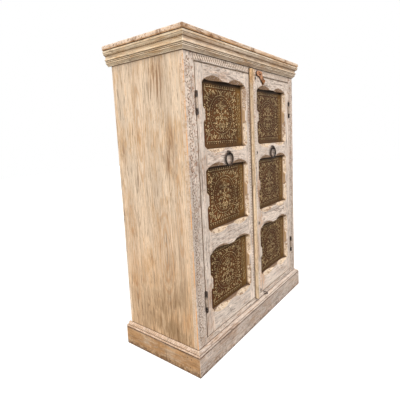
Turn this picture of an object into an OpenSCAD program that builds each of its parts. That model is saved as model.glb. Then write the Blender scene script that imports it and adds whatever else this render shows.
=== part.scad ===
// Two-door wooden cabinet: a boarded carcass with a stepped cornice and a moulded plinth,
// two inset doors with three embossed brass panels each, iron hinges, ring pulls and a hasp.
// X runs across the front, Y from front to back, Z up. The floor is Z = 0.

/* [Carcass] */
// Width across the two sides
body_w = 848; // [760:2:1000]
// Depth from the face frame to the back boards
body_d = 362; // [280:2:460]
// Height to the top of the top board
body_h = 1200; // [1150:2:1300]
// Thickness of the sides
side_t = 20; // [16:0.5:24]
// Thickness of the back boards
back_t = 12; // [8:0.5:18]
// Number of upright back boards
plank_count = 6; // [4:1:9]
// Open joint between two back boards
plank_gap = 1; // [0.5:0.1:2]
// Thickness of the bottom board and of the shelves
shelf_t = 18; // [12:0.5:24]
// Side of a square shelf cleat
cleat = 20; // [14:0.5:26]
// Space between a shelf's front edge and the back of the doors
shelf_set_back = 8; // [4:0.5:30]
// Thickness of the strip the doors close against
stop_t = 16; // [12:0.5:20]
// Space between that strip and the doors
stop_gap = 1.5; // [0.5:0.1:3]

/* [Face frame] */
// Thickness of the face frame
frame_t = 20; // [19:0.5:26]
// Width of the upright stiles
stile_w = 52; // [44:0.5:70]
// Height of the rail over the doors
frame_rail_h = 82; // [76:0.5:92]
// Height of the sill's top above the floor
sill_z = 113; // [110:0.5:150]
// Height of the sill rail
sill_h = 53; // [40:0.5:70]

/* [Carving] */
// Radius of the carver's gouge
gouge_r = 4.5; // [3:0.5:6]
// Depth of its cuts
gouge_depth = 1.6; // [0.8:0.1:2]
// Radius of the vine's bends on the stiles, to the middle of the groove
vine_r = 10; // [7:0.5:10.5]
// Radius of the tool that cut the vine's groove
vine_tool = 2.2; // [1.8:0.1:3]
// Distance of the vine from the stile's outer edge
vine_x = 21; // [16:0.5:26]
// Length of the vine's leaves
leaf_len = 8.5; // [6:0.5:10]
// Distance between two cuts on the top rail
cut_pitch = 13; // [11:0.5:18]
// Length of these cuts
cut_len = 18; // [12:0.5:20]
// Distance between two nicks on the meeting stiles
nick_pitch = 12; // [9:0.5:18]
// Length of the nicks
nick_len = 9; // [6:0.5:12]
// Distance between two cuts in the side runs of cornice and plinth
hatch_pitch = 9.5; // [8:0.5:14]
// Radius of the gouge for these cuts
hatch_r = 2.4; // [2:0.1:3]
// Depth of these cuts
hatch_depth = 0.9; // [0.5:0.1:1.2]
// Slant of these cuts, degrees
hatch_a = 26; // [0:1:35]

/* [Cornice] */
// Thickness of the top board
slab_t = 19; // [15:0.5:24]
// Overhang of the top board at the front and at the sides
slab_out = 25; // [24:0.5:40]
// Overhang of the top board at the back
slab_back = 17; // [14:0.5:30]
// Radius of the top board's worn upper edge
nose_r = 8; // [4:0.5:10]
// Height of the moulding under the top board
cornice_h = 55; // [53:0.5:62]
// Projection of the moulding at its top
cornice_out = 23.5; // [22:0.5:24.5]
// Radius of the moulding's ovolo
ovolo_r = 10.5; // [9:0.5:12]
// Radius of its cove
cove_r = 7.4; // [6.5:0.1:8]
// Radius of its bead
bead_r = 2.8; // [2.4:0.1:3]

/* [Plinth] */
// Height of the plinth's flat face
plinth_h = 73; // [60:0.5:76]
// Thickness of the plinth boards
plinth_t = 18; // [16:0.5:22]
// Radius of the bead along the plinth's top
plinth_bead = 3; // [2.4:0.1:3.6]
// Height of the slope above that bead
plinth_slope = 11; // [8:0.5:13]
// Reach of the plinth's rear board behind the back boards
plinth_back_t = 12; // [8:0.5:16]

/* [Doors] */
// Thickness of the door frames
door_t = 30; // [26:0.5:34]
// How far the doors stand proud of the face frame
door_proud = 1; // [0.5:0.1:2]
// Gap round the doors
door_gap = 2; // [1.5:0.1:3]
// Gap between the two doors
meeting_gap = 3.5; // [3.5:0.1:5]
// Distance of the meeting gap from the cabinet's middle
meeting_off = 18; // [10:0.5:24]
// Width of the stile on the hinge side
hinge_stile_w = 46; // [40:0.5:60]
// Width of the left door's meeting stile
meeting_stile_w = 38; // [34:0.5:60]
// Height of the top rail
rail_top_h = 51; // [46:0.5:60]
// Height of the rail between the upper and the middle opening
rail_upper_h = 66; // [60:0.5:80]
// Height of the rail between the middle and the lower opening
rail_lower_h = 78; // [66:0.5:90]
// Height of the bottom rail
rail_bottom_h = 75; // [66:0.5:90]
// Height of the upper opening
panel_top_h = 245; // [200:1:260]
// Height of the middle opening
panel_mid_h = 236; // [210:1:245]
// Width of the stopped chamfers beside the openings
chamfer = 12; // [8:0.5:14]
// Height of the scooped chamfers over and under the openings
scoop = 15; // [8:0.5:18]
// Width of the uncut lobe in the middle of each side
lobe = 38; // [20:1:60]
// Uncut length at each corner
corner_stop = 3; // [2:0.5:10]

/* [Panels] */
// Depth of the brass below the door's face
recess = 20; // [16:0.5:21]
// Width of the rebate that holds the panels
rebate = 8; // [6:0.5:12]
// Play of the panels in their rebates
panel_play = 0.5; // [0.3:0.1:1]
// Thickness of the brass sheet
brass_t = 1.2; // [0.8:0.1:1.6]
// Thickness of the board behind the brass
board_t = 7; // [4:0.5:8]
// Height of the embossing
relief_h = 1.6; // [0.8:0.1:3]
// Width of the plain border round the embossing
border = 15; // [10:0.5:24]
// Radius of the medallion, as a share of the panel's height
medallion = 0.285; // [0.24:0.005:0.32]
// Number of beads round the medallion
beads = 24; // [12:1:36]
// Number of leaf pairs on a garland
leaves = 7; // [5:1:9]

/* [Meeting strip] */
// Width of the strip
strip_w = 34; // [24:0.5:40]
// Thickness of the strip
strip_t = 10; // [7:0.5:14]
// Reach of the strip above the doors
strip_rise = 22; // [10:0.5:25]
// Reach of the strip below the doors
strip_drop = 13; // [5:0.5:16]
// Radius of the domed studs
stud_r = 9; // [5:0.5:9.5]
// Height of the domed studs
stud_h = 4.5; // [3:0.5:5]
// Distance of the end studs from the door's ends
stud_end = 12; // [9:0.5:30]

/* [Hinges] */
// Height of a hinge
hinge_h = 76; // [60:1:100]
// Distance from the door's end to the middle of a hinge
hinge_end = 136; // [90:1:170]
// Radius of the hinge knuckles
knuckle_r = 4; // [3.5:0.1:4.5]
// Radius of the hinge pins
pin_r = 2; // [1.5:0.1:2.4]
// Running clearance of a pin in its knuckle
pin_play = 0.05; // [0.02:0.01:0.1]
// Thickness of a hinge leaf
leaf_t = 1.6; // [1.2:0.1:2]
// Width of a hinge leaf
leaf_w = 19; // [14:0.5:19]
// Space between a knuckle and the wood, and between two knuckles
hinge_play = 0.4; // [0.3:0.1:0.6]

/* [Ring pulls] */
// Radius of the ring, to the middle of its wire
ring_r = 23.5; // [18:0.5:27]
// Radius of the ring's wire
ring_wire = 3.5; // [2.5:0.1:4]
// Radius of the eye's wire
eye_wire = 2.2; // [1.8:0.1:2.8]
// Space between the ring and its eye
eye_play = 0.5; // [0.4:0.1:0.8]
// Distance of the ring from the door
ring_clear = 4; // [2:0.5:8]
// Height of the eye below the top of its rail
ring_drop = 20; // [16:0.5:30]

/* [Hasp] */
// Distance of the hasp's staple from the cabinet's middle
hasp_x = 68; // [60:1:90]
// Height of the hasp's staple above the rail's lower edge
hasp_rise = 8; // [6:0.5:10]
// Distance from the staple to the hasp's pivot, sideways
arm_x = 38; // [30:1:46]
// Distance from the staple to the hasp's pivot, downwards
arm_z = 33; // [28:1:38]
// Width of the hasp's head
head_w = 46; // [40:1:50]
// Height of the hasp's head
head_h = 22; // [20:0.5:24]
// Thickness of the hasp
hasp_t = 3; // [2:0.1:4]
// Radius of the staples' wire
staple_wire = 2; // [1.5:0.1:2.2]
// Half the width of the latch staple, to the middle of its wire
staple_r = 6.5; // [6:0.1:7]
// How far the bow of the sill's staple stands out
sill_bow = 20; // [10:0.5:22]
// How far the staples are driven into the wood
staple_in = 12; // [8:0.5:16]
// Play of the staple in the hasp's slot
slot_play = 3; // [1.5:0.1:3.4]
// Width of the hasp's arm
arm_w = 20; // [10:0.5:24]
// Radius of the hasp's barrel
barrel_r = 4; // [3.5:0.1:4.5]

/* [Hidden] */
$fn = 48;

// Depth of the whole object in front of and behind the face frame's front plane
front_out = max(slab_out, plinth_t);
back_out = max(slab_back, plinth_back_t);
y_mid = (body_d + back_out - front_out) / 2;
half = body_w / 2;
slope_top = 2;
inner = half - side_t;
slab_z = body_h - slab_t;
cornice_z = slab_z - cornice_h;
plinth_top = plinth_h + 2 * plinth_bead + plinth_slope;
back_y = body_d - back_t;

// The doorway in the face frame
way_x = half - stile_w;
way_top = slab_z - frame_rail_h;

// The doors
door_y = -door_proud;
door_low = sill_z + door_gap;
door_high = way_top - door_gap;
door_x = way_x - door_gap;
left_edge = -meeting_off - meeting_gap / 2;
right_edge = -meeting_off + meeting_gap / 2;
left_w = left_edge + door_x;
right_w = door_x - right_edge;
panel_w = left_w - hinge_stile_w - meeting_stile_w;
door_h = door_high - door_low;
rails_h = rail_top_h + rail_upper_h + rail_lower_h + rail_bottom_h;
panel_low_h = door_h - rails_h - panel_top_h - panel_mid_h;
low_z = door_low + rail_bottom_h;
mid_z = low_z + panel_low_h + rail_lower_h;
top_z = mid_z + panel_mid_h + rail_upper_h;
panel_zs = [low_z, mid_z, top_z];
panel_hs = [panel_low_h, panel_mid_h, panel_top_h];
left_open = -door_x + hinge_stile_w;
right_open = door_x - hinge_stile_w - panel_w;

// The hinges
axis_x = way_x - door_gap / 2;
axis_y = door_y - hinge_play - knuckle_r;
hinge_zs = [door_low + hinge_end, door_high - hinge_end];
knuckles = 5;
knuckle_h = (hinge_h - (knuckles - 1) * hinge_play) / knuckles;

// The ring pulls
eye_r = ring_wire + eye_play + eye_wire;
eye_y = door_y - ring_clear - ring_wire;
eye_z = top_z - ring_drop;
left_ring_x = (left_edge - door_x) / 2;
right_ring_x = (right_edge + door_x) / 2;

// The shelves line up with the middle rails of the doors
shelf_zs = [mid_z - rail_lower_h / 2, top_z - rail_upper_h / 2];
shelf_y = door_y + door_t + shelf_set_back;

// The hasp: its staple is on the frame, its pivot on the right door
hasp_z = way_top + hasp_rise;
pivot_x = hasp_x + arm_x;
pivot_z = hasp_z - arm_z;
arm_a = atan2(arm_x, arm_z);
barrel_y = door_y - eye_play - barrel_r;
barrel_l = arm_w + 1;
barrel_end = barrel_l / 2 + eye_play;

wood = [0.78, 0.69, 0.58];
pale = [0.82, 0.77, 0.71];
tan = [0.80, 0.66, 0.49];
brass = [0.42, 0.30, 0.14];
iron = [0.16, 0.14, 0.13];
rust = [0.42, 0.22, 0.10];

// Everything is drawn with the face frame's front plane at Y = 0, then centred on the base
module place() {
    translate([0, -y_mid, 0]) children();
}

module box(x0, x1, y0, y1, z0, z1) {
    translate([x0, y0, z0]) cube([x1 - x0, y1 - y0, z1 - z0]);
}

// A profile drawn as (out, up) is run along the front, X to X
module run_front(x0, x1) {
    translate([x0, 0, 0]) rotate([90, 0, 90]) linear_extrude(x1 - x0) mirror([1, 0]) children();
}

// The same profile along the left side, from Y to Y
module run_left(y0, y1) {
    translate([-half, y1, 0]) rotate([90, 0, 0]) linear_extrude(y1 - y0) mirror([1, 0]) children();
}

// Mitred fields in plan for a moulding of the front and of the left side
module field_front(out, z0, z1) {
    translate([0, 0, z0]) linear_extrude(z1 - z0)
        polygon([[-half, 0], [-half - out, -out], [half + out, -out], [half, 0]]);
}

module field_left(out, back, z0, z1) {
    translate([0, 0, z0]) linear_extrude(z1 - z0)
        polygon([[-half, 0], [-half, back], [-half - out, back], [-half - out, -out]]);
}

// Wood screwed and nailed together: the carcass
module side() {
    box(-half, -inner, frame_t, back_y, 0, slab_z);
}

module back_planks() {
    pw = (body_w - (plank_count - 1) * plank_gap) / plank_count;
    for (i = [0 : plank_count - 1])
        translate([-half + i * (pw + plank_gap), back_y, plinth_h]) cube([pw, back_t, slab_z - plinth_h]);
}

// Section of the top board with its worn nose, for one overhanging edge at the left
module slab_section(x0, x1, both) {
    low_r = nose_r * 0.6;
    difference() {
        translate([x0, slab_z]) square([x1 - x0, slab_t]);
        translate([x0, body_h - nose_r]) corner_2d(nose_r);
        translate([x0, slab_z + low_r]) mirror([0, 1]) corner_2d(low_r);
        if (both) {
            translate([x1, body_h - nose_r]) mirror([1, 0]) corner_2d(nose_r);
            translate([x1, slab_z + low_r]) mirror([1, 0]) mirror([0, 1]) corner_2d(low_r);
        }
    }
}

// What a round edge of radius r takes off a corner at the upper left
module corner_2d(r) {
    difference() {
        translate([-1, 0]) square([r + 1, r + 1]);
        translate([r, 0]) circle(r);
    }
}

module top_slab() {
    x = half + slab_out;
    y0 = -slab_out;
    y1 = body_d + slab_back;
    intersection() {
        translate([0, y1, 0]) rotate([90, 0, 0]) linear_extrude(y1 - y0) slab_section(-x, x, true);
        translate([-x - 1, 0, 0]) rotate([90, 0, 90]) linear_extrude(2 * x + 2) slab_section(y0, y1, false);
    }
}

// Section of the cornice: sloping foot, fillet, small band, bead, cove, ovolo and upper fillet
module cornice_section() {
    foot = cornice_out / 2;
    top = cornice_h - 8.5;
    translate([0, cornice_z]) {
        polygon([
            [0, 0], [foot - 7.5, 0], [foot - 7.5, 2], [foot - 0.5, 9], [foot + 1, 9.8],
            [foot + 1, 12.6], [foot - 0.6, 13.4], [foot - 0.6, 14.4], [foot + 1.6, 15],
            [foot + 1.6, 18.4], [foot - 0.4, 19.2], [foot - 0.4, top], [0, top]]);
        translate([foot + 1.8, 22]) circle(bead_r);
        difference() {
            translate([0, 22]) square([foot + 3.4, top - ovolo_r - 21.5]);
            translate([foot + 7.5, 31.3]) circle(cove_r);
        }
        translate([ovolo_x(), top]) intersection() {
            circle(ovolo_r);
            translate([-1, -ovolo_r - 1]) square(ovolo_r + 2);
        }
        polygon([
            [0, top - 1], [cornice_out - 2.5, top - 1], [cornice_out - 2.5, top],
            [cornice_out, top + 0.5], [cornice_out, cornice_h - 1.8],
            [cornice_out - 3.5, cornice_h - 1.6], [cornice_out - 3.5, cornice_h], [0, cornice_h]]);
    }
}

function ovolo_x() = cornice_out - 1.5 - ovolo_r;

// A row of slanting cuts along the left run, in a face through (out, z) that leans over by a
module run_cuts(out, z, a, slant, len) {
    for (y = [hatch_pitch / 2 : hatch_pitch : body_d + plinth_back_t - 2])
        translate([-half - out, y, z]) rotate([0, a, 0]) translate([hatch_depth - hatch_r, 0, 0])
            rotate([slant, 0, 0]) cylinder(h = len, r = hatch_r, center = true);
}

// The cuts in the ovolo and in the sloping foot
module cornice_cuts() {
    reach = ovolo_r * sqrt(0.5);
    run_cuts(ovolo_x() + reach, cornice_z + cornice_h - 8.5 - reach, -45, -hatch_a, 12);
    run_cuts(cornice_out / 2 - 4, cornice_z + 5.5, -45, -hatch_a, 9);
}

// Section of the plinth: flat face, groove, bead and a slope up to the boards
module plinth_section() {
    b = plinth_bead;
    polygon([
        [0, 0], [plinth_t, 0], [plinth_t, plinth_h], [plinth_t - 0.6 * b, plinth_h + 0.3 * b],
        [plinth_t - 0.6 * b, plinth_h + 0.6 * b], [plinth_t - b, plinth_h + 0.9 * b],
        [plinth_t - 2 * b, plinth_h + 2 * b], [slope_top, plinth_top], [0, plinth_top]]);
    translate([plinth_t - b, plinth_h + 1.5 * b]) circle(b);
}

// The cuts across the plinth's slope
module plinth_cuts() {
    run = plinth_t - 2 * plinth_bead - slope_top;
    run_cuts(slope_top + run / 2, plinth_top - plinth_slope / 2, atan2(run, plinth_slope), hatch_a,
        norm([run, plinth_slope]) + 1);
}

module mitred_front(z0, z1, out) {
    intersection() {
        run_front(-half - out, half + out) children();
        field_front(out, z0, z1);
    }
}

module mitred_left(z0, z1, out, back) {
    intersection() {
        run_left(-out, back) children();
        field_left(out, back, z0, z1);
    }
}

// A shelf with its front edge behind the doors
module shelf(z) {
    box(-inner, inner, shelf_y, back_y, z - shelf_t / 2, z + shelf_t / 2);
}

// Door stop: a strip with a lip that hangs behind the doors' top edge
module stop_strip() {
    lip = door_y + door_t + stop_gap;
    high = way_top + 1.25 * stop_t;
    translate([-way_x, 0, 0]) rotate([90, 0, 90]) linear_extrude(2 * way_x) polygon([
        [frame_t, way_top], [lip, way_top], [lip, way_top - stop_t], [lip + stop_t, way_top - stop_t],
        [lip + stop_t, high], [frame_t, high]]);
}

// Cutter for one stopped chamfer along X: a 45 degree groove with round run-outs
module stopped_chamfer(len) {
    r = chamfer;
    for (x = [r, len - r])
        translate([x, -1, 0]) rotate([-90, 0, 0]) cylinder(h = r + 1, r1 = r + 1, r2 = 0);
    translate([r, 0, 0]) rotate([90, 0, 90]) linear_extrude(len - 2 * r)
        polygon([[-1, -r - 1], [-1, r + 1], [r, 0]]);
}

// Cutter for one scooped chamfer along X, in wood that lies above the edge: its outline is a low arch
module scooped_chamfer(len) {
    sag = scoop / sqrt(2);
    r = (len * len / 4 + sag * sag) / (2 * sag);
    off = (r - sag) / sqrt(2);
    translate([len / 2, -off, -off]) rotate([45, 0, 0])
        cylinder(h = 4 * scoop, r = r, center = true, $fn = 180);
}

// The chamfers beside one opening, two on each side with a lobe between them
module side_chamfers(x, z, h) {
    lh = (h - lobe) / 2 - corner_stop;
    for (xx = [x, x + panel_w], zz = [z + corner_stop, z + (h + lobe) / 2])
        translate([xx, door_y, zz]) rotate([0, -90, 0]) stopped_chamfer(lh);
}

// The scoops over and under it
module rail_scoops(x, z, h) {
    lw = (panel_w - lobe) / 2 - corner_stop;
    for (xx = [x + corner_stop, x + (panel_w + lobe) / 2]) {
        translate([xx, door_y, z + h]) scooped_chamfer(lw);
        translate([xx, door_y, z]) mirror([0, 0, 1]) scooped_chamfer(lw);
    }
}

module rebates(x, rows) {
    y0 = door_y + recess;
    for (i = rows)
        box(x - rebate, x + panel_w + rebate, y0, door_y + door_t + 1,
            panel_zs[i] - rebate, panel_zs[i] + panel_hs[i] + rebate);
}

module stile(x0, x1, open_x) {
    difference() {
        box(x0, x1, door_y, door_y + door_t, door_low, door_high);
        for (i = [0, 1, 2]) side_chamfers(open_x, panel_zs[i], panel_hs[i]);
        rebates(open_x, [0, 1, 2]);
    }
}

module rail(z0, z1, open_x, rows) {
    difference() {
        box(open_x, open_x + panel_w, door_y, door_y + door_t, z0, z1);
        for (i = rows) rail_scoops(open_x, panel_zs[i], panel_hs[i]);
        rebates(open_x, rows);
    }
}

module panel_board(open_x, i) {
    p = rebate - panel_play;
    y = door_y + recess + brass_t;
    box(open_x - p, open_x + panel_w + p, y, y + board_t, panel_zs[i] - p, panel_zs[i] + panel_hs[i] + p);
}

// Pointed oval of a given width and length, from two circles
module vesica(w, l) {
    r = (l * l + w * w) / (4 * w);
    intersection() {
        translate([r - w / 2, 0]) circle(r, $fn = 96);
        translate([w / 2 - r, 0]) circle(r, $fn = 96);
    }
}

module arc_band(r, t, a0, a1) {
    n = 3;
    da = (a1 - a0) / n;
    rotate(a0) intersection() {
        ring_2d(r, t);
        polygon(concat([[0, 0]], [for (i = [0 : n]) (r + t) * 2.2 * [cos(da * i), sin(da * i)]]));
    }
}

module ring_2d(r, t) {
    difference() {
        circle(r + t / 2, $fn = 96);
        circle(r - t / 2, $fn = 96);
    }
}

module frame_2d(w, h, t) {
    difference() {
        square([w, h], center = true);
        square([w - 2 * t, h - 2 * t], center = true);
    }
}

// One scroll: a wide arc that turns into a tighter one and ends in a round eye
module scroll(r) {
    k = 0.62;
    arc_band(r, r * 0.24, -20, 175);
    translate([-r * (1 - k), 0]) arc_band(r * k, r * 0.24, 188, 330);
    translate([r * (2 * k - 1), r * 0.04]) circle(r * 0.26);
}

// A garland: pairs of leaves along a straight stem of length l
module garland(l) {
    step = l / leaves;
    square([step * 0.11, l], center = true);
    for (i = [0 : leaves - 1], s = [-1, 1])
        translate([s * step * 0.43, -l / 2 + step * (i + 0.45)]) rotate(-s * 38)
            vesica(step * 0.4, step * 0.9);
}

// A vase that holds a stem with scrolls, leaves and a flower, in a circle of radius r
module vase_2d(r) {
    translate([0, -r * 0.58]) {
        vesica(r * 0.5, r * 0.62);
        translate([0, -r * 0.29]) square([r * 0.38, r * 0.08], center = true);
        translate([0, r * 0.27]) square([r * 0.34, r * 0.07], center = true);
    }
    translate([0, r * 0.08]) square([r * 0.05, r * 0.9], center = true);
    for (m = [0, 1]) mirror([m, 0]) {
        translate([r * 0.3, r * 0.06]) scroll(r * 0.23);
        translate([r * 0.52, -r * 0.44]) rotate(200) scroll(r * 0.17);
        translate([r * 0.3, r * 0.52]) rotate(20) scroll(r * 0.15);
        translate([r * 0.72, r * 0.12]) rotate(-12) vesica(r * 0.11, r * 0.44);
    }
    translate([0, r * 0.58]) for (a = [-42, 0, 42])
        rotate(a) translate([0, r * 0.22]) vesica(r * 0.13, r * 0.3);
}

// A palmette that opens towards the corner at the upper right
module palmette(r) {
    for (a = [-46 : 23 : 46]) rotate(a - 45) translate([0, r * 0.62]) vesica(r * 0.22, r * 0.76);
    circle(r * 0.15);
}

// Embossed pattern of one panel: the vase in a beaded ring, palmettes in the corners, garlands between
module relief_2d(w, h) {
    r = h * medallion;
    ex = w / 2 - border;
    ey = h / 2 - border;
    frame_2d(2 * ex, 2 * ey, border * 0.16);
    frame_2d(2 * ex - border * 0.8, 2 * ey - border * 0.8, border * 0.1);
    ring_2d(r, r * 0.045);
    ring_2d(r * 0.8, r * 0.035);
    for (i = [0 : beads - 1]) rotate(i * 360 / beads) translate([r * 0.9, 0]) circle(r * 0.04, $fn = 24);
    vase_2d(r * 0.76);
    for (mx = [0, 1], my = [0, 1]) mirror([mx, 0]) mirror([0, my])
        translate([ex - border * 2.5, ey - border * 2.4]) palmette(border * 1.8);
    for (s = [-1, 1]) {
        translate([s * (ex - border * 1.32), 0]) garland(h * 0.4);
        translate([0, s * (ey - border * 1.3)]) rotate(90) garland(w * 0.36);
    }
}

module brass_sheet(open_x, i) {
    p = rebate - panel_play;
    w = panel_w;
    h = panel_hs[i];
    y = door_y + recess;
    box(open_x - p, open_x + w + p, y, y + brass_t, panel_zs[i] - p, panel_zs[i] + h + p);
    translate([open_x + w / 2, y + 0.2, panel_zs[i] + h / 2]) rotate([90, 0, 0])
        linear_extrude(relief_h + 0.2) relief_2d(w, h);
}

// Knuckle spans of one hinge, counted from its foot: even ones are the frame's, odd ones the door's
function knuckle_z(k) = -hinge_h / 2 + k * (knuckle_h + hinge_play);

// A leaf of one hinge at the left; s = -1 for the frame's and 1 for the door's
module hinge_leaf(s) {
    first = s < 0 ? 0 : 1;
    x = s < 0 ? -door_gap / 2 - leaf_t : door_gap / 2;
    y = knuckle_r + hinge_play;
    difference() {
        union() {
            box(x, x + leaf_t, y, y + leaf_w, -hinge_h / 2, hinge_h / 2);
            for (k = [first : 2 : knuckles - 1]) translate([0, 0, knuckle_z(k)]) {
                cylinder(h = knuckle_h, r = knuckle_r);
                box(x, x + leaf_t, 0, y + 1, 0, knuckle_h);
            }
        }
        translate([0, 0, -hinge_h]) cylinder(h = 2 * hinge_h, r = pin_r + pin_play);
    }
}

module left_leaves(s) {
    for (z = hinge_zs) translate([-axis_x, axis_y, z]) hinge_leaf(s);
}

module hinge_pin() {
    translate([0, 0, -hinge_h / 2 - 2]) cylinder(h = hinge_h + 2.5, r = pin_r);
    translate([0, 0, hinge_h / 2]) cylinder(h = 2.2, r = knuckle_r - 0.6);
    translate([0, 0, -hinge_h / 2 - 2.2]) cylinder(h = 2.2, r = knuckle_r - 1);
}

// Pocket for a hinge leaf, cut into the edge of the wood at the left
module leaf_pockets(x0, x1) {
    for (z = hinge_zs)
        box(-axis_x + x0, -axis_x + x1, -door_proud - 1, axis_y + knuckle_r + hinge_play + leaf_w,
            z - hinge_h / 2, z + hinge_h / 2);
}

// A bent wire staple: the bow stands out towards -Y, the legs run into the wood at Y = 0
module staple(r, wire, out, in) {
    bow = -out + r + wire;
    translate([0, bow, 0]) rotate([0, 0, 180]) rotate_extrude(angle = 180) translate([r, 0]) circle(wire);
    for (s = [-1, 1]) translate([s * r, in, 0]) rotate([90, 0, 0]) cylinder(h = in - bow, r = wire);
}

// Holes for its legs
module staple_holes(r, wire, in) {
    for (s = [-1, 1]) translate([s * r, in + 0.5, 0]) rotate([90, 0, 0])
        cylinder(h = in + 3, r = wire + pin_play);
}

module at_latch() {
    translate([hasp_x, 0, hasp_z]) children();
}

module at_sill_staple() {
    translate([hasp_x, 0, (plinth_top + sill_z) / 2]) rotate([0, 56, 0]) children();
}

module ring_eye() {
    translate([0, 0, eye_z]) rotate([0, 90, 0]) translate([0, door_y, 0])
        staple(eye_r, eye_wire, ring_clear + ring_wire + eye_r + eye_wire, staple_in);
}

module ring_eye_holes(x) {
    translate([x, door_y, eye_z]) rotate([0, 90, 0]) staple_holes(eye_r, eye_wire, staple_in);
}

// The ring hangs with its wire resting low in the eye
module pull_ring() {
    translate([0, eye_y, eye_z - ring_r - eye_play + 0.3]) rotate([90, 0, 0])
        rotate_extrude() translate([ring_r, 0]) circle(ring_wire);
}

// Frame of the hasp's pivot: Z' along the pivot, the arm runs towards -X'
module at_pivot() {
    translate([pivot_x, barrel_y, pivot_z]) rotate([0, 90 - arm_a, 0]) children();
}

module hasp_staple_legs(extra) {
    for (s = [-1, 1]) translate([0, 0, s * (barrel_end + staple_wire)]) rotate([-90, 0, 0])
        cylinder(h = -barrel_y + door_y + staple_in + extra, r = staple_wire + (extra > 0 ? pin_play : 0));
}

module side_left() {
    color(tan) place() side();
}

module side_right() {
    color(tan) place() mirror([1, 0, 0]) side();
}

module back_boards() {
    color(wood) place() back_planks();
}

module top_board() {
    color(wood) place() top_slab();
}

module bottom_board() {
    color(wood) place() box(-inner, inner, frame_t, back_y, sill_z - shelf_t, sill_z);
}

module shelf_lower() {
    color(wood) place() shelf(shelf_zs[0]);
}

module shelf_upper() {
    color(wood) place() shelf(shelf_zs[1]);
}

module shelf_cleats() {
    color(wood) place() for (m = [0, 1], z = shelf_zs) mirror([m, 0, 0])
        box(-inner, -inner + cleat, shelf_y + cleat, back_y, z - shelf_t / 2 - cleat, z - shelf_t / 2);
}

module door_stop() {
    color(wood) place() stop_strip();
}

// One gouge cut in a face at Y = 0: it starts deep, runs out after len towards +X, then is turned by a
module gouge(len, a) {
    rotate([0, -a, 0]) translate([0, gouge_depth - gouge_r, 0])
        rotate([0, 90, -atan(gouge_depth / len)]) cylinder(h = len * 1.1, r = gouge_r);
}

// One bend of the vine: an open half ring towards +X, a leaf inside it and a bud outside
module vine_bend() {
    translate([0, gouge_depth * 0.9 - vine_tool, 0]) rotate([90, 0, 0]) rotate(-76)
        rotate_extrude(angle = 152) translate([vine_r, 0]) circle(vine_tool, $fn = 32);
    translate([-2.5, 0, -1]) gouge(leaf_len, 12);
    translate([-4.5, 0, 1]) mirror([1, 0, 0]) gouge(leaf_len * 0.8, 25);
}

// The vine up a stile, between the plinth and the cornice: its bends swing left and right in turn
module vine() {
    n = floor((cornice_z - plinth_top) / (2 * vine_r)) - 1;
    z0 = (cornice_z + plinth_top) / 2 - (n - 1) * vine_r;
    for (i = [0 : n - 1])
        translate([-half + vine_x, 0, z0 + 2 * i * vine_r]) mirror([i % 2, 0, 0]) vine_bend();
}

// A row of slanting cuts along the top rail, with room left for the hasp's staple
module rail_cuts() {
    z = (way_top + cornice_z) / 2;
    n = floor(way_x / cut_pitch) - 1;
    for (i = [-n : n])
        if (abs(i * cut_pitch - hasp_x) > staple_r + cut_len)
            translate([i * cut_pitch, 0, z]) rotate([0, 62, 0])
                translate([-cut_len / 2, 0, 0]) gouge(cut_len, 0);
}

// Short level nicks up a meeting stile, from x towards the opening when dir is 1
module nicks(x, dir) {
    n = floor((door_h - 2 * rail_top_h) / nick_pitch);
    z0 = (door_low + door_high - (n - 1) * nick_pitch) / 2;
    for (i = [0 : n - 1])
        translate([x, door_y, z0 + i * nick_pitch]) scale([dir, 1, 1]) gouge(nick_len, 0);
}

module frame_stile() {
    difference() {
        box(-half, -way_x, 0, frame_t, 0, slab_z);
        vine();
        leaf_pockets(-door_gap / 2 - leaf_t, 2 * door_gap);
    }
}

module frame_stile_left() {
    color(pale) place() frame_stile();
}

module frame_stile_right() {
    color(pale) place() mirror([1, 0, 0]) frame_stile();
}

module frame_rail_top() {
    color(pale) place() difference() {
        box(-way_x, way_x, 0, frame_t, way_top, slab_z);
        rail_cuts();
        at_latch() staple_holes(staple_r, staple_wire, staple_in);
    }
}

module frame_sill() {
    color(pale) place() difference() {
        box(-way_x, way_x, 0, frame_t, sill_z - sill_h, sill_z);
        at_sill_staple() staple_holes(staple_r + 2, staple_wire, staple_in);
    }
}

module cornice_front() {
    color(wood) place() mitred_front(cornice_z, slab_z, cornice_out) cornice_section();
}

module cornice_left() {
    color(wood) place() difference() {
        mitred_left(cornice_z, slab_z, cornice_out, body_d + slab_back) cornice_section();
        cornice_cuts();
    }
}

module cornice_right() {
    color(wood) place() mirror([1, 0, 0]) difference() {
        mitred_left(cornice_z, slab_z, cornice_out, body_d + slab_back) cornice_section();
        cornice_cuts();
    }
}

module plinth_front() {
    color(wood) place() mitred_front(0, sill_z, plinth_t) plinth_section();
}

module plinth_left() {
    color(tan) place() difference() {
        mitred_left(0, sill_z, plinth_t, body_d + plinth_back_t) plinth_section();
        plinth_cuts();
    }
}

module plinth_right() {
    color(tan) place() mirror([1, 0, 0]) difference() {
        mitred_left(0, sill_z, plinth_t, body_d + plinth_back_t) plinth_section();
        plinth_cuts();
    }
}

module plinth_back() {
    color(wood) place() box(-half, half, back_y, body_d + plinth_back_t, 0, plinth_h);
}

module frame_hinge_leaves() {
    color(iron) place() for (m = [0, 1]) mirror([m, 0, 0]) left_leaves(-1);
}

module hinge_pins() {
    color(iron) place() for (s = [-1, 1], z = hinge_zs) translate([s * axis_x, axis_y, z]) hinge_pin();
}

module latch_staple() {
    color(rust) place() at_latch() staple(staple_r, staple_wire, 17, staple_in);
}

module sill_staple() {
    color(iron) place() at_sill_staple() staple(staple_r + 2, staple_wire, sill_bow, staple_in);
}

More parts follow.
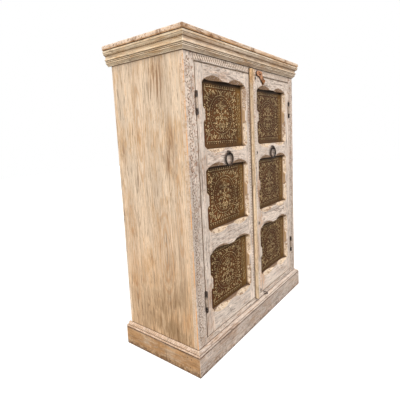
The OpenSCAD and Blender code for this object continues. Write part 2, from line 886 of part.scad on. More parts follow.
module left_hinge_stile() {
    color(pale) place() difference() {
        stile(-door_x, left_open, left_open);
        leaf_pockets(-2 * door_gap, door_gap / 2 + leaf_t);
    }
}

module left_meeting_stile() {
    color(pale) place() difference() {
        stile(left_open + panel_w, left_edge, left_open);
        nicks(left_edge - nick_len / 2, -1);
    }
}

module left_rail(z0, z1, rows) {
    difference() {
        rail(z0, z1, left_open, rows);
        ring_eye_holes(left_ring_x);
    }
}

module left_rail_top() {
    color(pale) place() left_rail(door_high - rail_top_h, door_high, [2]);
}

module left_rail_upper() {
    color(pale) place() left_rail(top_z - rail_upper_h, top_z, [1, 2]);
}

module left_rail_lower() {
    color(pale) place() left_rail(mid_z - rail_lower_h, mid_z, [0, 1]);
}

module left_rail_bottom() {
    color(pale) place() left_rail(door_low, low_z, [0]);
}

module left_board_top() {
    color(wood) place() panel_board(left_open, 2);
}

module left_board_middle() {
    color(wood) place() panel_board(left_open, 1);
}

module left_board_bottom() {
    color(wood) place() panel_board(left_open, 0);
}

module left_brass_top() {
    color(brass) place() brass_sheet(left_open, 2);
}

module left_brass_middle() {
    color(brass) place() brass_sheet(left_open, 1);
}

module left_brass_bottom() {
    color(brass) place() brass_sheet(left_open, 0);
}

module left_hinge_leaves() {
    color(iron) place() left_leaves(1);
}

module left_ring_eye() {
    color(iron) place() translate([left_ring_x, 0, 0]) ring_eye();
}

module left_ring() {
    color(iron) place() translate([left_ring_x, 0, 0]) pull_ring();
}

module right_hinge_stile() {
    color(pale) place() difference() {
        stile(right_open + panel_w, door_x, right_open);
        mirror([1, 0, 0]) leaf_pockets(-2 * door_gap, door_gap / 2 + leaf_t);
    }
}

module right_meeting_stile() {
    color(pale) place() stile(right_edge, right_open, right_open);
}

module right_rail(z0, z1, rows) {
    difference() {
        rail(z0, z1, right_open, rows);
        ring_eye_holes(right_ring_x);
        at_pivot() hasp_staple_legs(0.5);
    }
}

module right_rail_top() {
    color(pale) place() right_rail(door_high - rail_top_h, door_high, [2]);
}

module right_rail_upper() {
    color(pale) place() right_rail(top_z - rail_upper_h, top_z, [1, 2]);
}

module right_rail_lower() {
    color(pale) place() right_rail(mid_z - rail_lower_h, mid_z, [0, 1]);
}

module right_rail_bottom() {
    color(pale) place() right_rail(door_low, low_z, [0]);
}

module right_board_top() {
    color(wood) place() panel_board(right_open, 2);
}

module right_board_middle() {
    color(wood) place() panel_board(right_open, 1);
}

module right_board_bottom() {
    color(wood) place() panel_board(right_open, 0);
}

module right_brass_top() {
    color(brass) place() brass_sheet(right_open, 2);
}

module right_brass_middle() {
    color(brass) place() brass_sheet(right_open, 1);
}

module right_brass_bottom() {
    color(brass) place() brass_sheet(right_open, 0);
}

module right_hinge_leaves() {
    color(iron) place() mirror([1, 0, 0]) left_leaves(1);
}

module right_ring_eye() {
    color(iron) place() translate([right_ring_x, 0, 0]) ring_eye();
}

module right_ring() {
    color(iron) place() translate([right_ring_x, 0, 0]) pull_ring();
}

// The strip over the meeting gap has eased edges and a round foot
module meeting_strip() {
    e = 3;
    r = strip_w / 2;
    x0 = right_edge;
    z0 = door_low - strip_drop;
    z1 = door_high + strip_rise;
    color(pale) place() intersection() {
        translate([0, 0, z0 - 1]) linear_extrude(z1 - z0 + 2) polygon([
            [x0, door_y], [x0, door_y - strip_t + e], [x0 + e * 0.6, door_y - strip_t],
            [x0 + strip_w - e, door_y - strip_t], [x0 + strip_w, door_y - strip_t + e],
            [x0 + strip_w, door_y]]);
        translate([0, door_y + 1, 0]) rotate([90, 0, 0]) linear_extrude(strip_t + 2) union() {
            translate([x0 - 1, z0 + r * 0.8]) square([strip_w + 2, z1 - z0 - r * 0.8]);
            intersection() {
                translate([x0 + r, z0 + 1.2 * r]) circle(1.2 * r);
                translate([x0, z0]) square([strip_w, r * 0.8 + 1]);
            }
        }
    }
}

module stud() {
    big = (stud_r * stud_r + stud_h * stud_h) / (2 * stud_h);
    rotate([90, 0, 0]) intersection() {
        translate([0, 0, stud_h - big]) sphere(big);
        cylinder(h = stud_h + 1, r = stud_r + 1);
    }
}

module strip_studs() {
    x = (right_edge + strip_w + right_open - chamfer) / 2;
    zs = [door_low + stud_end, shelf_zs[0] - 14, shelf_zs[1] - 2, door_high - stud_end];
    color(iron) place() for (z = zs) translate([x, door_y, z]) stud();
}

module hasp_staple() {
    color(rust) place() at_pivot() {
        hasp_staple_legs(0);
        for (s = [-1, 1]) translate([0, 0, s * (barrel_end + staple_wire)]) sphere(staple_wire);
        translate([0, 0, -barrel_end - staple_wire])
            cylinder(h = 2 * (barrel_end + staple_wire), r = staple_wire);
    }
}

// Plate of the hasp in the plane of the door: a broad slotted head and an arm to the pivot
module hasp_plate_2d() {
    hw = head_w / 2 - head_h / 2;
    slot_h = staple_wire + slot_play;
    slot_w = staple_r + slot_h;
    difference() {
        union() {
            translate([-hw, -head_h / 2]) square([2 * hw, head_h]);
            for (s = [-1, 1]) translate([s * hw, 0]) circle(head_h / 2);
            translate([arm_x, -arm_z]) rotate(90 + arm_a)
                translate([0, -arm_w / 2]) square([norm([arm_x, arm_z]) * 0.8, arm_w]);
        }
        translate([slot_h - slot_w, -slot_h]) square([2 * (slot_w - slot_h), 2 * slot_h]);
        for (s = [-1, 1]) translate([s * (slot_w - slot_h), 0]) circle(slot_h);
    }
}

module hasp() {
    color(rust) place() difference() {
        union() {
            translate([hasp_x, barrel_y + hasp_t / 2, hasp_z]) rotate([90, 0, 0])
                linear_extrude(hasp_t) hasp_plate_2d();
            at_pivot() translate([0, 0, -barrel_l / 2]) cylinder(h = barrel_l, r = barrel_r);
        }
        at_pivot() translate([0, 0, -barrel_l]) cylinder(h = 2 * barrel_l, r = staple_wire + 2 * pin_play);
    }
}

side_left();
side_right();
back_boards();
top_board();
bottom_board();
shelf_lower();
shelf_upper();
shelf_cleats();
door_stop();
frame_stile_left();
frame_stile_right();
frame_rail_top();
frame_sill();
cornice_front();
cornice_left();
cornice_right();
plinth_front();
plinth_left();
plinth_right();
plinth_back();
frame_hinge_leaves();
hinge_pins();
latch_staple();
sill_staple();
left_hinge_stile();
left_meeting_stile();
left_rail_top();
left_rail_upper();
left_rail_lower();
left_rail_bottom();
left_board_top();
left_board_middle();
left_board_bottom();
left_brass_top();
left_brass_middle();
left_brass_bottom();
left_hinge_leaves();
left_ring_eye();
left_ring();
right_hinge_stile();
right_meeting_stile();
right_rail_top();
right_rail_upper();
right_rail_lower();
right_rail_bottom();
right_board_top();
right_board_middle();
right_board_bottom();
right_brass_top();
right_brass_middle();
right_brass_bottom();
right_hinge_leaves();
right_ring_eye();
right_ring();
meeting_strip();
strip_studs();
hasp_staple();
hasp();
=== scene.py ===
"""A whitewashed two-door cabinet with embossed brass panels, dressed for the studio.

The wood keeps its CAD solids and gets grain, limewash, dirt and wear. The six brass sheets are
made again with a finer embossed pattern. The iron keeps its solids under rust and handling wear.
"""
import math

import bmesh
import bpy
from mathutils import Matrix, Vector


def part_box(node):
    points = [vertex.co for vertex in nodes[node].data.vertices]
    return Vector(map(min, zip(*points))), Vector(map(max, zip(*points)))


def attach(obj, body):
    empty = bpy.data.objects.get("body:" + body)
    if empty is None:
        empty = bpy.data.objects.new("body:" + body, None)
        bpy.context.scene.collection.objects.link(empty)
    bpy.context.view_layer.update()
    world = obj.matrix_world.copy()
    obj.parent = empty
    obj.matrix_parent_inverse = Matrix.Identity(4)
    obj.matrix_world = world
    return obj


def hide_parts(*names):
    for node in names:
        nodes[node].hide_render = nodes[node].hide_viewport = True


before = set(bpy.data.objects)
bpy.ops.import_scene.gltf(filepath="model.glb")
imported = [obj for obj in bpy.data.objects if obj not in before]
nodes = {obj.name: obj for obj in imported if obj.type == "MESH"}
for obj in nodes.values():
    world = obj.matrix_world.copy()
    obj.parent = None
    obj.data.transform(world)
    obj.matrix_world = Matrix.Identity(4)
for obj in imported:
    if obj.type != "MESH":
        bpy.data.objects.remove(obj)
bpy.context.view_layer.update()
scene = bpy.context.scene

DOORS = ("left", "right")
PANELS = ("top", "middle", "bottom")
RAILS = ("top", "upper", "lower", "bottom")

FULL_TURN = 2 * math.pi
WHITE = (1.0, 1.0, 1.0, 1.0)
# How far apart in their noise the boards lie, and the brass sheets, so that no two look the same
WOOD_APART = 0.77
BRASS_APART = 0.31


# Short words for node trees

def linear(red, green, blue):
    """A colour given as it shows on a screen, 0 to 255, for a shader's socket."""
    def one(c):
        c /= 255
        return c / 12.92 if c <= 0.04045 else ((c + 0.055) / 1.055) ** 2.4
    return (one(red), one(green), one(blue), 1.0)


class Bench:
    """Lays out one node tree, step by step. Most of its words return an output socket."""

    def __init__(self, tree):
        self.tree = tree

    def add(self, kind, put=None, out=0, **settings):
        """One node with its settings and its inputs, by name or number. Returns one output."""
        node = self.tree.nodes.new(kind)
        for name, value in settings.items():
            setattr(node, name, value)
        for key, value in (put or {}).items():
            if isinstance(value, bpy.types.NodeSocket):
                self.tree.links.new(value, node.inputs[key])
            else:
                node.inputs[key].default_value = value
        return node.outputs[out]

    # Numbers

    def math(self, operation, a, b=0.0):
        return self.add("ShaderNodeMath", {0: a, 1: b}, operation=operation)

    def plus(self, a, b):
        return self.math("ADD", a, b)

    def minus(self, a, b):
        return self.math("SUBTRACT", a, b)

    def times(self, a, b):
        return self.math("MULTIPLY", a, b)

    def larger(self, a, b):
        return self.math("MAXIMUM", a, b)

    def absolute(self, a):
        return self.math("ABSOLUTE", a)

    def step(self, value, low, high, to_low=0.0, to_high=1.0):
        """A soft step from to_low to to_high while value goes from low to high."""
        return self.add("ShaderNodeMapRange", {0: value, 1: low, 2: high, 3: to_low, 4: to_high},
                        interpolation_type="SMOOTHSTEP")

    # Places

    def stretch(self, vector, scale):
        return self.add("ShaderNodeVectorMath", {0: vector, 1: scale}, operation="MULTIPLY")

    def move(self, vector, by):
        return self.add("ShaderNodeVectorMath", {0: vector, 1: by}, operation="ADD")

    def distance(self, place, point):
        return self.add("ShaderNodeVectorMath", {0: place, 1: point}, out="Value",
                        operation="DISTANCE")

    def all_three(self, value):
        """The same number along all three axes, or in all three colours."""
        return self.add("ShaderNodeCombineXYZ", {0: value, 1: value, 2: value})

    def noise(self, vector, scale, detail=3.0, rough=0.55, distortion=0.0):
        return self.add("ShaderNodeTexNoise", {
            "Vector": vector, "Scale": scale, "Detail": detail,
            "Roughness": rough, "Distortion": distortion})

    # Colours and finishes

    def mix(self, share, a, b, mode="MIX"):
        """Colour a, and b over it by its share. A mix node takes its colours at 6 and 7."""
        return self.add("ShaderNodeMix", {0: share, 6: a, 7: b}, out=2,
                        data_type="RGBA", blend_type=mode)

    def finish(self, colour, roughness, bump, depth, metallic=0.0, specular=0.5):
        normal = self.add("ShaderNodeBump", {"Height": bump, "Distance": depth, "Strength": 1.0})
        shader = self.add("ShaderNodeBsdfPrincipled", {
            "Base Color": colour, "Roughness": roughness, "Normal": normal,
            "Metallic": metallic, "Specular IOR Level": specular})
        self.add_output(shader)

    def add_output(self, shader):
        output = self.tree.nodes.new("ShaderNodeOutputMaterial")
        self.tree.links.new(shader, output.inputs["Surface"])


def new_material(name):
    material = bpy.data.materials.new(name)
    material.use_nodes = True
    material.node_tree.nodes.clear()
    return material, Bench(material.node_tree)


# Wood

# Tones of the wood in each place, 0 to 255: bare wood and its darker grain, a warmer cast, the dark
# streaks, the limewash, specks where it flaked off, rubbed edges, dirt in cracks, whose tone is
# also the painted shade in corners and hollows and on undersides, and, on doors and frame, cut
# faces that look sideways. "left" is how much limewash is left, "marks" how strong the dark streaks
# are and
# "flakes" how strong the specks are, each from 0 to 1. "draw" is small where streaks run long, and
# a last number gives the strength of the painted shade, with some grime, in small hollows.
SIDE = {"bare": (218, 184, 146), "grain": (196, 158, 118), "warm": (222, 178, 132),
        "streak": (138, 102, 70), "wash": (236, 213, 186), "speck": (176, 142, 108),
        "worn": (240, 190, 136), "dirt_and_shade": (118, 88, 62),
        "left": 0.66, "marks": 0.42, "flakes": 0.12, "draw": 0.045}
FRONT = {"bare": (206, 170, 142), "grain": (168, 128, 98), "warm": (218, 168, 122),
         "streak": (90, 60, 42), "wash": (244, 229, 215), "speck": (138, 102, 78),
         "worn": (228, 196, 160), "dirt_and_shade": (70, 48, 34), "cut": (190, 150, 98),
         "left": 0.78, "marks": 0.62, "flakes": 0.42}
FRAME = dict(FRONT, cut=(222, 186, 144))
CORNICE = {"bare": (226, 190, 144), "grain": (200, 160, 114), "warm": (222, 170, 116),
           "streak": (148, 108, 68), "wash": (250, 230, 198), "speck": (176, 136, 94),
           "worn": (255, 242, 216), "dirt_and_shade": (122, 84, 48),
           "left": 0.66, "marks": 0.5, "flakes": 0.35, "hollow_shade": 0.65}
CORNICE_FRONT = dict(CORNICE, wash=(246, 226, 202), bare=(220, 184, 148), warm=(216, 166, 122))
SLAB = {"bare": (220, 178, 138), "grain": (188, 144, 102), "warm": (204, 148, 98),
        "streak": (122, 82, 50), "wash": (248, 226, 202), "speck": (168, 122, 88),
        "worn": (242, 206, 162), "dirt_and_shade": (136, 92, 54),
        "left": 0.66, "marks": 0.6, "flakes": 0.4}
PLINTH_SIDE = {"bare": (196, 154, 108), "grain": (166, 124, 84), "warm": (192, 146, 98),
               "streak": (96, 70, 46), "wash": (220, 198, 172), "speck": (140, 104, 74),
               "worn": (226, 196, 164), "dirt_and_shade": (84, 58, 38),
               "left": 0.38, "marks": 0.66, "flakes": 0.6}
PLINTH_FRONT = {"bare": (198, 170, 148), "grain": (166, 138, 116), "warm": (204, 164, 126),
                "streak": (116, 90, 74), "wash": (224, 210, 198), "speck": (146, 118, 100),
                "worn": (230, 208, 188), "dirt_and_shade": (84, 60, 44),
                "left": 0.6, "marks": 0.62, "flakes": 0.6}
INSIDE = {"bare": (176, 140, 102), "grain": (150, 114, 80), "warm": (178, 132, 88),
          "streak": (106, 78, 54), "wash": (200, 178, 150), "speck": (126, 96, 68),
          "worn": (194, 158, 118), "dirt_and_shade": (70, 50, 34),
          "left": 0.25, "marks": 0.5, "flakes": 0.3}
# How far streaks are drawn out, and how strong the painted shade and grime in small hollows is,
# where the tones don't say
USUAL_DRAW = 0.12
USUAL_HOLLOW_SHADE = 0.8
# Painted shadow in the deepest corners and on the undersides in the doors' openings
DEEP = (30, 20, 14)

# Places that the finishes refer to, in metres. First the outer faces of the left side, of the
# plinth's left run and of the doors, and places a millimetre or two before the slab's nose, at the
# side and in front
SIDE_FACE = -0.424
PLINTH_FACE = -0.442
DOOR_FACE = -0.178
NOSE_SIDE = -0.45
NOSE_FRONT = -0.204
# The dark line under the plinth's bead
BEAD_LINE = 0.0725
# The gaps round the doors: beside the frame, at the meeting stiles, over and under
GAP_SIDE = 0.371
GAP_MEETING = -0.018
GAP_HIGH = 1.098
GAP_LOW = 0.114
# The slanting cuts of the top rail: the height of their middles, their spacing and their lean
CUT_MIDDLE = 1.1125
CUT_PITCH = 0.013
CUT_LEAN = 0.531
# The spacing of the ticks on the meeting strip
TICK_PITCH = 0.0115
# The heights of the hinges' middles
HINGES_AT = (0.251, 0.961)


class Board:
    """The fields that a board's finishes read: figure, streaks, pores, edges and corners."""

    def __init__(self, b, grain, seed, draw):
        self.b = b
        self.place = b.add("ShaderNodeTexCoord", out="Object")
        self.facing = b.add("ShaderNodeTexCoord", out="Normal")
        own = b.move(self.place, (seed * 1.37, seed * 2.11, seed * 0.73))

        def drawn(share):
            """The board's own space, drawn out along the grain. A small share draws it out far."""
            return b.stretch(own, tuple(share if axis == grain else 1.0 for axis in "XYZ"))

        drift = b.add("ShaderNodeTexNoise", {
            "Vector": drawn(0.3), "Scale": 6.0, "Detail": 3.0}, out="Color")
        sway = b.stretch(b.move(drift, (-0.5, -0.5, -0.5)), (0.035, 0.035, 0.035))
        lines = b.move(drawn(0.05), sway)
        # Along the grain
        self.streaks = b.noise(b.move(drawn(draw), sway), 190.0, 4.0, 0.62)
        self.bands = b.noise(lines, 34.0, 4.0, 0.55)
        self.fibres = b.noise(lines, 400.0, 4.0, 0.7)
        self.splits = b.noise(lines, 30.0, 3.0, 0.5, 0.4)
        self.pores = b.noise(b.move(drawn(0.085), sway), 230.0, 3.0, 0.6)
        self.patches = b.noise(b.move(drawn(0.3), sway), 30.0, 5.0, 0.65)
        self.clusters = b.noise(drawn(0.45), 9.0, 3.0, 0.55)
        # Across any grain
        self.blotches = b.noise(own, 6.0, 5.0, 0.62)
        self.mottle = b.noise(own, 75.0, 4.0, 0.68)
        self.specks = b.noise(own, 240.0, 2.0, 0.6)
        # From the shape: how open a spot is, wide and close, and how sharp an edge
        self.open_air, self.hollow = (
            b.add("ShaderNodeAmbientOcclusion", {"Distance": reach}, out="AO", samples=8)
            for reach in (0.018, 0.0045))
        bent = b.add("ShaderNodeBevel", {"Radius": 0.003}, samples=6)
        flat = b.add("ShaderNodeNewGeometry", out="Normal")
        turn = b.add("ShaderNodeVectorMath", {0: bent, 1: flat}, out="Value",
                     operation="DOT_PRODUCT")
        self.arris = b.times(b.step(turn, 0.995, 0.86), b.step(self.open_air, 0.4, 0.75))
        # How much of a chamfer a face is; door_faces finds a door's
        self.slant = 0.0

    def part(self, axis):
        """The place along one axis."""
        return self.b.add("ShaderNodeSeparateXYZ", {0: self.place}, out=axis)

    def looks(self, axis):
        """How far the face looks along one axis, from -1 to 1."""
        return self.b.add("ShaderNodeSeparateXYZ", {0: self.facing}, out=axis)

    def sum(self, **shares):
        """A weighted sum of fields, such as sum(streaks=0.5, blotches=0.5)."""
        total = None
        for name, share in shares.items():
            term = self.b.times(getattr(self, name), share)
            total = term if total is None else self.b.plus(total, term)
        return total


def tinted(b, colour, share, tone, strength=1.0):
    """The colour, moved towards a tone where share is high."""
    return b.mix(b.times(share, strength), colour, linear(*tone))


def stained(b, colour, share, tone):
    """The colour under a thin stain, so that its grain still shows."""
    return b.mix(share, colour, linear(*tone), "MULTIPLY")


def broken(b, share, field, low, high, least=0.0):
    """A share broken up by a field: whole where the field is high, least of it where it is low."""
    return b.times(share, b.step(field, low, high, least, 1.0))


def door_faces(b, w, colour, tone):
    """The openings of a door: dark sills, painted shadow on the undersides, painted shade on the
    chamfers that look down, ochre jambs, flaked chamfers.
    """
    y = b.absolute(w.looks("Y"))
    z = w.looks("Z")
    slant = w.slant = b.times(b.step(y, 0.5, 0.62), b.step(y, 0.94, 0.84))
    colour = tinted(b, colour, slant, (208, 176, 132), 0.55)
    grimy = broken(b, slant, w.sum(patches=0.5, mottle=0.5), 0.5, 0.57)
    colour = tinted(b, colour, grimy, (116, 76, 48), 0.7)
    # Painted shade on the chamfers that look down
    colour = tinted(b, colour, broken(b, slant, z, -0.3, -0.55), (168, 116, 72), 0.55)
    colour = tinted(b, colour, broken(b, slant, w.specks, 0.56, 0.64), (248, 240, 230), 0.75)
    colour = tinted(b, colour, b.step(b.absolute(w.looks("X")), 0.9, 0.98), tone["cut"], 0.75)
    # Painted shadow on the undersides in the openings
    colour = tinted(b, colour, b.step(z, -0.86, -0.97), DEEP, 0.85)
    return tinted(b, colour, b.step(z, 0.85, 0.97), (128, 94, 62), 0.8)


def washed_wood(name, grain, seed, tone, kind="plain", extra=None):
    """Whitewashed old wood whose grain runs along one axis. A seed gives each board its own figure.
    A "door" has dark sills and painted shade in its openings; a "frame" shows cut wood on the faces
    that look sideways."""
    material, b = new_material(name)
    w = Board(b, grain, seed, tone.get("draw", USUAL_DRAW))

    # Bare wood, and the limewash that is left on it
    shade = w.sum(bands=0.35, streaks=0.35, fibres=0.3)
    bare = b.mix(b.step(shade, 0.42, 0.57), linear(*tone["grain"]), linear(*tone["bare"]))
    bare = tinted(b, bare, b.step(w.sum(blotches=0.6, bands=0.4), 0.48, 0.6), tone["warm"], 0.6)
    middle = 0.62 - 0.24 * tone["left"]
    cover = b.step(w.sum(patches=0.28, streaks=0.37, blotches=0.35), middle - 0.07, middle + 0.07)
    thin = linear(*[0.92 * c for c in tone["wash"]])
    chalk = b.mix(b.step(w.bands, 0.4, 0.6), thin, linear(*tone["wash"]))
    colour = b.mix(b.times(cover, 0.85), bare, chalk)

    # Flakes, dark streaks, pores, fibres and drying cracks
    bits = b.step(w.sum(mottle=0.7, specks=0.3), 0.52, 0.6)
    flaked = broken(b, bits, w.clusters, 0.38, 0.56, 0.35)
    colour = tinted(b, colour, flaked, tone["speck"], tone["flakes"])
    dark = broken(b, b.step(w.streaks, 0.5, 0.64), w.clusters, 0.42, 0.58, 0.25)
    colour = tinted(b, colour, dark, tone["streak"], tone["marks"])
    dashes = b.step(w.pores, 0.58, 0.66)
    colour = tinted(b, colour, dashes, [0.85 * c for c in tone["streak"]], 0.5)
    tint = b.step(w.fibres, 0.34, 0.66, 0.82, 1.1)
    colour = b.mix(1.0, colour, b.all_three(tint), "MULTIPLY")
    gap = b.absolute(b.minus(w.splits, 0.5))
    cracks = broken(b, b.step(gap, 0.003, 0.01, 1.0, 0.0), w.blotches, 0.5, 0.6)
    colour = tinted(b, colour, cracks, tone["dirt_and_shade"], 0.65)

    # What this board has of its own
    if kind == "door":
        colour = door_faces(b, w, colour, tone)
    if kind == "frame":
        colour = tinted(b, colour, b.step(b.absolute(w.looks("X")), 0.8, 0.97), tone["cut"], 0.6)
    if extra:
        colour = extra(b, w, colour)

    # Rubbed edges; painted shade with some grime in closed corners and small hollows; painted shade
    # on undersides and painted shadow in the deepest corners
    rubbed = broken(b, w.arris, w.sum(patches=0.6, specks=0.4), 0.4, 0.55)
    colour = tinted(b, colour, rubbed, tone["worn"], 0.85)
    # Painted shade where a spot is closed in, broken up with some grime
    closed = b.step(w.open_air, 0.92, 0.35)
    shade_and_grime = broken(b, closed, w.sum(blotches=0.5, streaks=0.5), 0.38, 0.6, 0.55)
    shade_and_grime = b.times(shade_and_grime, b.minus(1.0, b.times(w.slant, 0.75)))
    colour = tinted(b, colour, shade_and_grime, tone["dirt_and_shade"], 0.8)
    # Painted shade, with some grime, in small hollows
    hollow_shade = tone.get("hollow_shade", USUAL_HOLLOW_SHADE)
    colour = tinted(b, colour, b.step(w.hollow, 0.96, 0.62), tone["dirt_and_shade"], hollow_shade)
    # Painted shade on faces that look down
    colour = tinted(b, colour, b.step(w.looks("Z"), -0.74, -0.9), tone["dirt_and_shade"], 0.8)
    # Painted shadow in the deepest corners
    colour = tinted(b, colour, b.step(w.open_air, 0.34, 0.12), DEEP, 0.9)

    rough = b.step(cover, 0.0, 1.0, 0.55, 0.8)
    height = b.plus(w.sum(fibres=0.4, streaks=0.5, specks=0.12), b.times(cover, 0.2))
    for field, depth in ((cracks, 1.4), (dashes, 0.4), (flaked, 0.25)):
        height = b.minus(height, b.times(field, depth))
    b.finish(colour, rough, height, 0.0008, specular=0.3)
    return material


def near(b, w, points, radius, soft, shape=(1.0, 1.0, 1.0)):
    """1 close to any of the points (x, y, z), fading to 0 over soft metres. The shape squeezes
    space, so that a share under 1 makes the spot longer along that axis."""
    total = 0.0
    here = b.stretch(w.place, shape)
    for point in points:
        away = b.distance(here, tuple(p * s for p, s in zip(point, shape)))
        total = b.larger(b.step(away, radius, radius + soft, 1.0, 0.0), total)
    return total


def line_at(b, place, at, half, soft=0.001):
    """1 on a line across one axis, at a place and with a half width in metres."""
    return b.step(b.absolute(b.minus(place, at)), half, half + soft, 1.0, 0.0)


def flame_figure(b, w, at, wide, tall, rings):
    """Nested arches of grain where the saw ran nearly along the growth rings."""
    apart = b.stretch(b.move(w.place, tuple(-p for p in at)), (0.0, 1 / wide, 1 / tall))
    length = b.add("ShaderNodeVectorMath", {0: apart}, out="Value", operation="LENGTH")
    wavy = b.plus(length, b.times(w.blotches, 0.5))
    ridge = b.step(b.math("SINE", b.times(wavy, FULL_TURN * rings)), -0.1, 0.9)
    return broken(b, b.times(ridge, b.step(length, 1.0, 0.45)), w.fibres, 0.35, 0.55, 0.5)


def side_marks(b, w, colour):
    """The side is glued up from four boards with flame figures, dark streaks and a brown foot."""
    y = w.part("Y")
    z = w.part("Z")
    for seam, strength in ((-0.083, 0.35), (0.012, 0.45), (0.094, 0.3)):
        colour = tinted(b, colour, line_at(b, y, seam, 0.0006), (130, 100, 70), strength)
    for at_y, at_z, wide, tall, rings in (
            (-0.046, 0.42, 0.055, 0.26, 5), (0.055, 0.86, 0.04, 0.3, 4),
            (0.135, 0.38, 0.035, 0.34, 4), (-0.125, 0.6, 0.03, 0.3, 4)):
        figure = flame_figure(b, w, (SIDE_FACE, at_y, at_z), wide, tall, rings)
        colour = tinted(b, colour, figure, (190, 142, 96), 0.5)
    stains = [(SIDE_FACE, at_y, at_z) for at_y, at_z in (
        (-0.06, 1.05), (-0.03, 1.08), (-0.098, 0.83), (-0.092, 0.77), (0.16, 0.78))]
    spots = near(b, w, stains, 0.004, 0.03, (1.0, 1.0, 0.3))
    colour = tinted(b, colour, broken(b, spots, w.streaks, 0.44, 0.56), (142, 102, 64), 0.8)
    colour = stained(b, colour, b.step(z, 0.7, 0.12), (250, 238, 224))
    foot = broken(b, b.step(z, 0.45, 0.14), y, 0.17, -0.02, 0.3)
    foot = broken(b, foot, w.sum(streaks=0.6, blotches=0.4), 0.42, 0.56)
    return tinted(b, colour, foot, (134, 102, 64), 0.8)


def slab_marks(b, w, colour):
    """The slab's lower arris is rubbed to a warm brown, with knots, stains and dashes along it."""
    z = w.part("Z")
    low = b.step(z, 1.1885, 1.184)
    low = broken(b, low, w.sum(patches=0.5, mottle=0.5), 0.4, 0.52, 0.4)
    colour = tinted(b, colour, low, (208, 154, 96), 0.75)
    knots = [(NOSE_SIDE, 0.02, 1.186), (NOSE_SIDE, -0.1, 1.19), (-0.44, -0.2, 1.19),
             (-0.3, NOSE_FRONT, 1.188), (-0.02, NOSE_FRONT, 1.19), (0.3, NOSE_FRONT, 1.187)]
    spots = near(b, w, knots, 0.006, 0.016)
    colour = tinted(b, colour, broken(b, spots, w.mottle, 0.4, 0.55), (120, 78, 44), 0.8)
    nose = b.step(z, 1.1985, 1.196)
    dashes = broken(b, nose, w.sum(streaks=0.5, patches=0.5), 0.52, 0.58)
    return tinted(b, colour, dashes, (124, 80, 46), 0.7)


def plinth_side_marks(b, w, colour):
    """A pale hatched bead over a stained face of two lengths of board, with a few nail holes."""
    y = w.part("Y")
    z = w.part("Z")
    bead = b.times(b.step(z, 0.071, 0.075), b.step(w.mottle, 0.38, 0.55, 1.0, 0.4))
    colour = tinted(b, colour, bead, (232, 208, 188), 0.8)
    colour = tinted(b, colour, line_at(b, z, BEAD_LINE, 0.0012), (96, 66, 44), 0.8)
    joint = line_at(b, y, -0.028, 0.0006)
    colour = tinted(b, colour, joint, (96, 70, 48), 0.75)
    stains = [(PLINTH_FACE, at_y, at_z) for at_y, at_z in (
        (-0.12, 0.03), (0.02, 0.05), (0.13, 0.035))]
    below = b.times(near(b, w, stains, 0.012, 0.07), b.step(z, 0.073, 0.066))
    below = broken(b, below, w.sum(blotches=0.4, mottle=0.6), 0.42, 0.56)
    colour = tinted(b, colour, below, (168, 124, 78), 0.7)
    foot = broken(b, b.step(z, 0.028, 0.004), w.mottle, 0.38, 0.58)
    colour = tinted(b, colour, foot, (92, 66, 44), 0.75)
    nails = [(PLINTH_FACE, at_y, at_z) for at_y, at_z in (
        (-0.1375, 0.06), (-0.156, 0.057), (-0.148, 0.0235))]
    return tinted(b, colour, near(b, w, nails, 0.0018, 0.001), (60, 40, 28), 0.9)


def plinth_front_marks(b, w, colour):
    """A dark line under the bead, and grey dirt along the floor."""
    z = w.part("Z")
    colour = tinted(b, colour, line_at(b, z, BEAD_LINE, 0.0012), (96, 70, 54), 0.8)
    foot = broken(b, b.step(z, 0.03, 0.0), w.mottle, 0.4, 0.6)
    return tinted(b, colour, foot, (110, 88, 72), 0.6)


def door_lines(b, w, colour):
    """Dark lines beside the gaps round the doors: painted shade of the gaps, with some old dirt."""
    x = w.part("X")
    z = w.part("Z")
    wide = b.absolute(x)
    # Upright lines end with the doors' height, and level ones with their width
    inside = b.times(b.step(z, 0.108, 0.112), b.step(z, 1.103, 1.1))
    upright = b.times(line_at(b, wide, GAP_SIDE, 0.0016, 0.0012), b.step(z, 0.85, 0.6, 0.0, 0.8))
    upright = b.times(upright, inside)
    meeting = b.times(line_at(b, x, GAP_MEETING, 0.0022), inside)
    level = b.larger(line_at(b, z, GAP_HIGH, 0.003, 0.0014), line_at(b, z, GAP_LOW, 0.002))
    level = b.times(level, b.step(wide, 0.376, 0.373))
    lines = b.larger(b.larger(upright, meeting), level)
    return tinted(b, colour, broken(b, lines, w.patches, 0.36, 0.52, 0.6), (62, 44, 32), 0.85)


def rail_marks(b, w, colour):
    """Dark brown in the slanting cuts of the top rail and pale cream on the ridges between them."""
    z = w.part("Z")
    row = line_at(b, z, CUT_MIDDLE, 0.0075, 0.002)
    lean = b.times(b.minus(z, CUT_MIDDLE), CUT_LEAN)
    wave = b.math("COSINE", b.times(b.plus(w.part("X"), lean), FULL_TURN / CUT_PITCH))
    colour = tinted(b, colour, broken(b, row, wave, 0.1, 0.85), (138, 98, 66), 0.75)
    colour = tinted(b, colour, broken(b, row, wave, -0.3, -0.9), (246, 228, 204), 0.5)
    return door_lines(b, w, colour)


